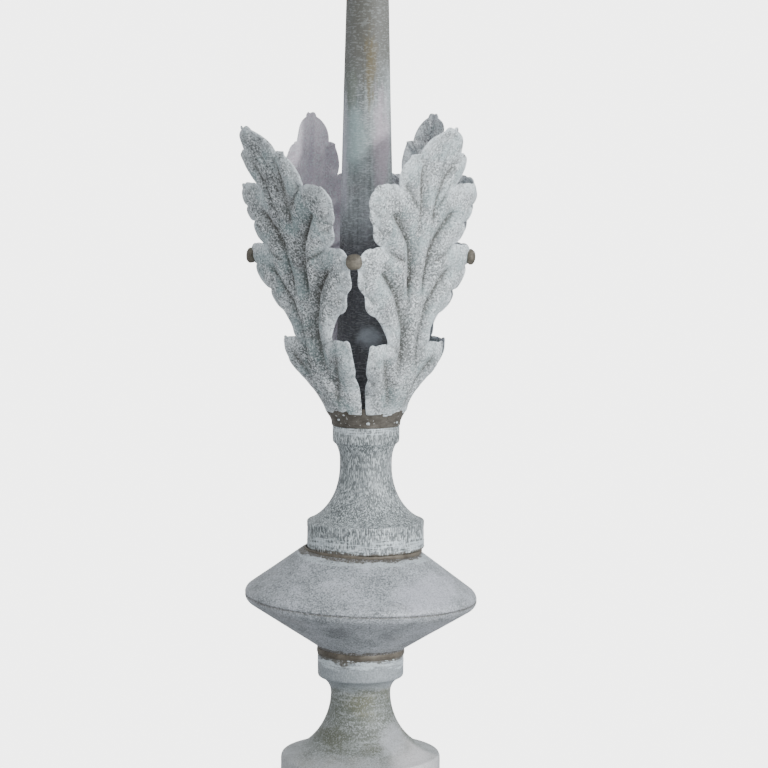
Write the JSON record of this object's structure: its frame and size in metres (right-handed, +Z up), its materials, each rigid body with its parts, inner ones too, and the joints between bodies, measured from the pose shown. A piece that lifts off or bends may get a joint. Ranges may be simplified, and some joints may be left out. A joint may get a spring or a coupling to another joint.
{
  "type": "roof finial",
  "caption": "Tall sheet-zinc roof finial: spun foot, double-cone knop and slim neck under an open cup of pressed leaves, with a long tapered spire.",
  "frame": {"origin": "centre of the foot's underside, on the surface it stands on", "axes": "+Z up along the spire, -Y towards the front solder button, +X to the right of the front"},
  "size_m": [0.2334, 0.241, 1.4941],
  "materials": {
    "zinc_foot": "weathered zinc sheet, matt grey with greenish and ochre bands",
    "zinc_knop": "weathered zinc sheet, matt pale grey with dark blotches under the rim",
    "zinc_neck": "weathered zinc sheet with fine upright streaks",
    "zinc_spire": "weathered zinc sheet, brushed upright, with ochre and brown streaks",
    "zinc_leaf": "pressed zinc, matt pale blue-grey, mottled, with worn pale rims",
    "solder": "tarnished soft solder, dull grey-brown"
  },
  "bodies": {
    "root": {"foot": "zinc_foot", "knop_lower_cone": "zinc_knop", "knop_upper_cone": "zinc_knop", "neck": "zinc_neck", "solder_foot_to_knop": "solder", "solder_knop_to_neck": "solder", "solder_cup": "solder", "spire": "zinc_spire", "leaf_front_left": "zinc_leaf", "leaf_front_right": "zinc_leaf", "leaf_back_right": "zinc_leaf", "leaf_back_left": "zinc_leaf", "solder_button_front": "solder", "solder_button_right": "solder", "solder_button_back": "solder", "solder_button_left": "solder"}
  },
  "joints": []
}
